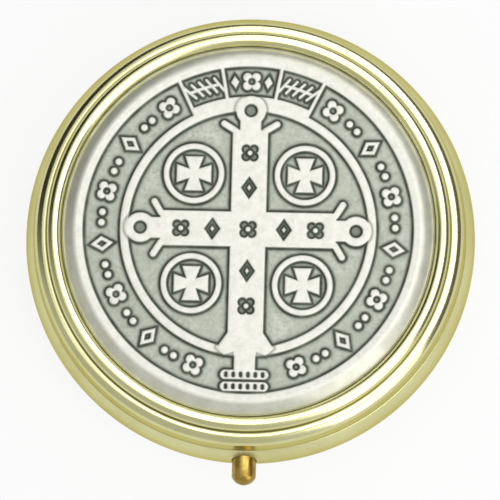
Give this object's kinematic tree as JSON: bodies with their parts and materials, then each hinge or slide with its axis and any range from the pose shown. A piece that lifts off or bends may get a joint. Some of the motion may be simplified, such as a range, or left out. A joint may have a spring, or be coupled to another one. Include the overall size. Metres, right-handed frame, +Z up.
{
  "type": "hinged pyx",
  "caption": "Round hinged brass case for altar bread, with a push-button catch at the front and a cast medal with a raised cross set in its lid.",
  "frame": {"origin": "centre of the flat underside", "axes": "+Z up through the lid, -Y towards the push button at the front, +Y towards the hinge, +X to the right seen from the front"},
  "size_m": [0.054, 0.0568, 0.0134],
  "materials": {
    "gold_brass": "polished gold plate on brass",
    "button_brass": "duller, browner gold plate",
    "pewter": "cast pewter, dark in the recesses and rubbed bright on the raised work",
    "spring_steel": "drawn spring steel",
    "cement": "thin cured cement"
  },
  "bodies": {
    "base": {"base_shell": "gold_brass", "base_liner": "gold_brass", "base_hinge_leaf": "gold_brass", "base_hinge_rivets": "gold_brass", "hinge_pin": "spring_steel", "hinge_spring": "spring_steel", "latch_spring": "spring_steel", "latch_rivets": "gold_brass"},
    "button": {"push_button": "button_brass"},
    "lid": {"lid_shell": "gold_brass", "lid_liner": "gold_brass", "medal": "pewter", "medal_cement": "cement", "lid_hinge_leaf": "gold_brass", "lid_hinge_rivets": "gold_brass", "lid_catch": "gold_brass", "lid_catch_rivets": "gold_brass"}
  },
  "joints": [
    {"name": "lid_hinge", "type": "hinge", "parent": "base", "child": "lid", "pos_m": [0, 0.02475, 0.0088], "axis": [-1, 0, 0], "range_deg": [0, 100], "deforming": ["hinge_spring", "latch_spring"]},
    {"name": "button_press", "type": "slide", "parent": "base", "child": "button", "axis": [0, 1, 0], "range_m": [0, 0.0009], "stiffness_N_per_m": 1200, "deforming": ["latch_spring"]}
  ]
}
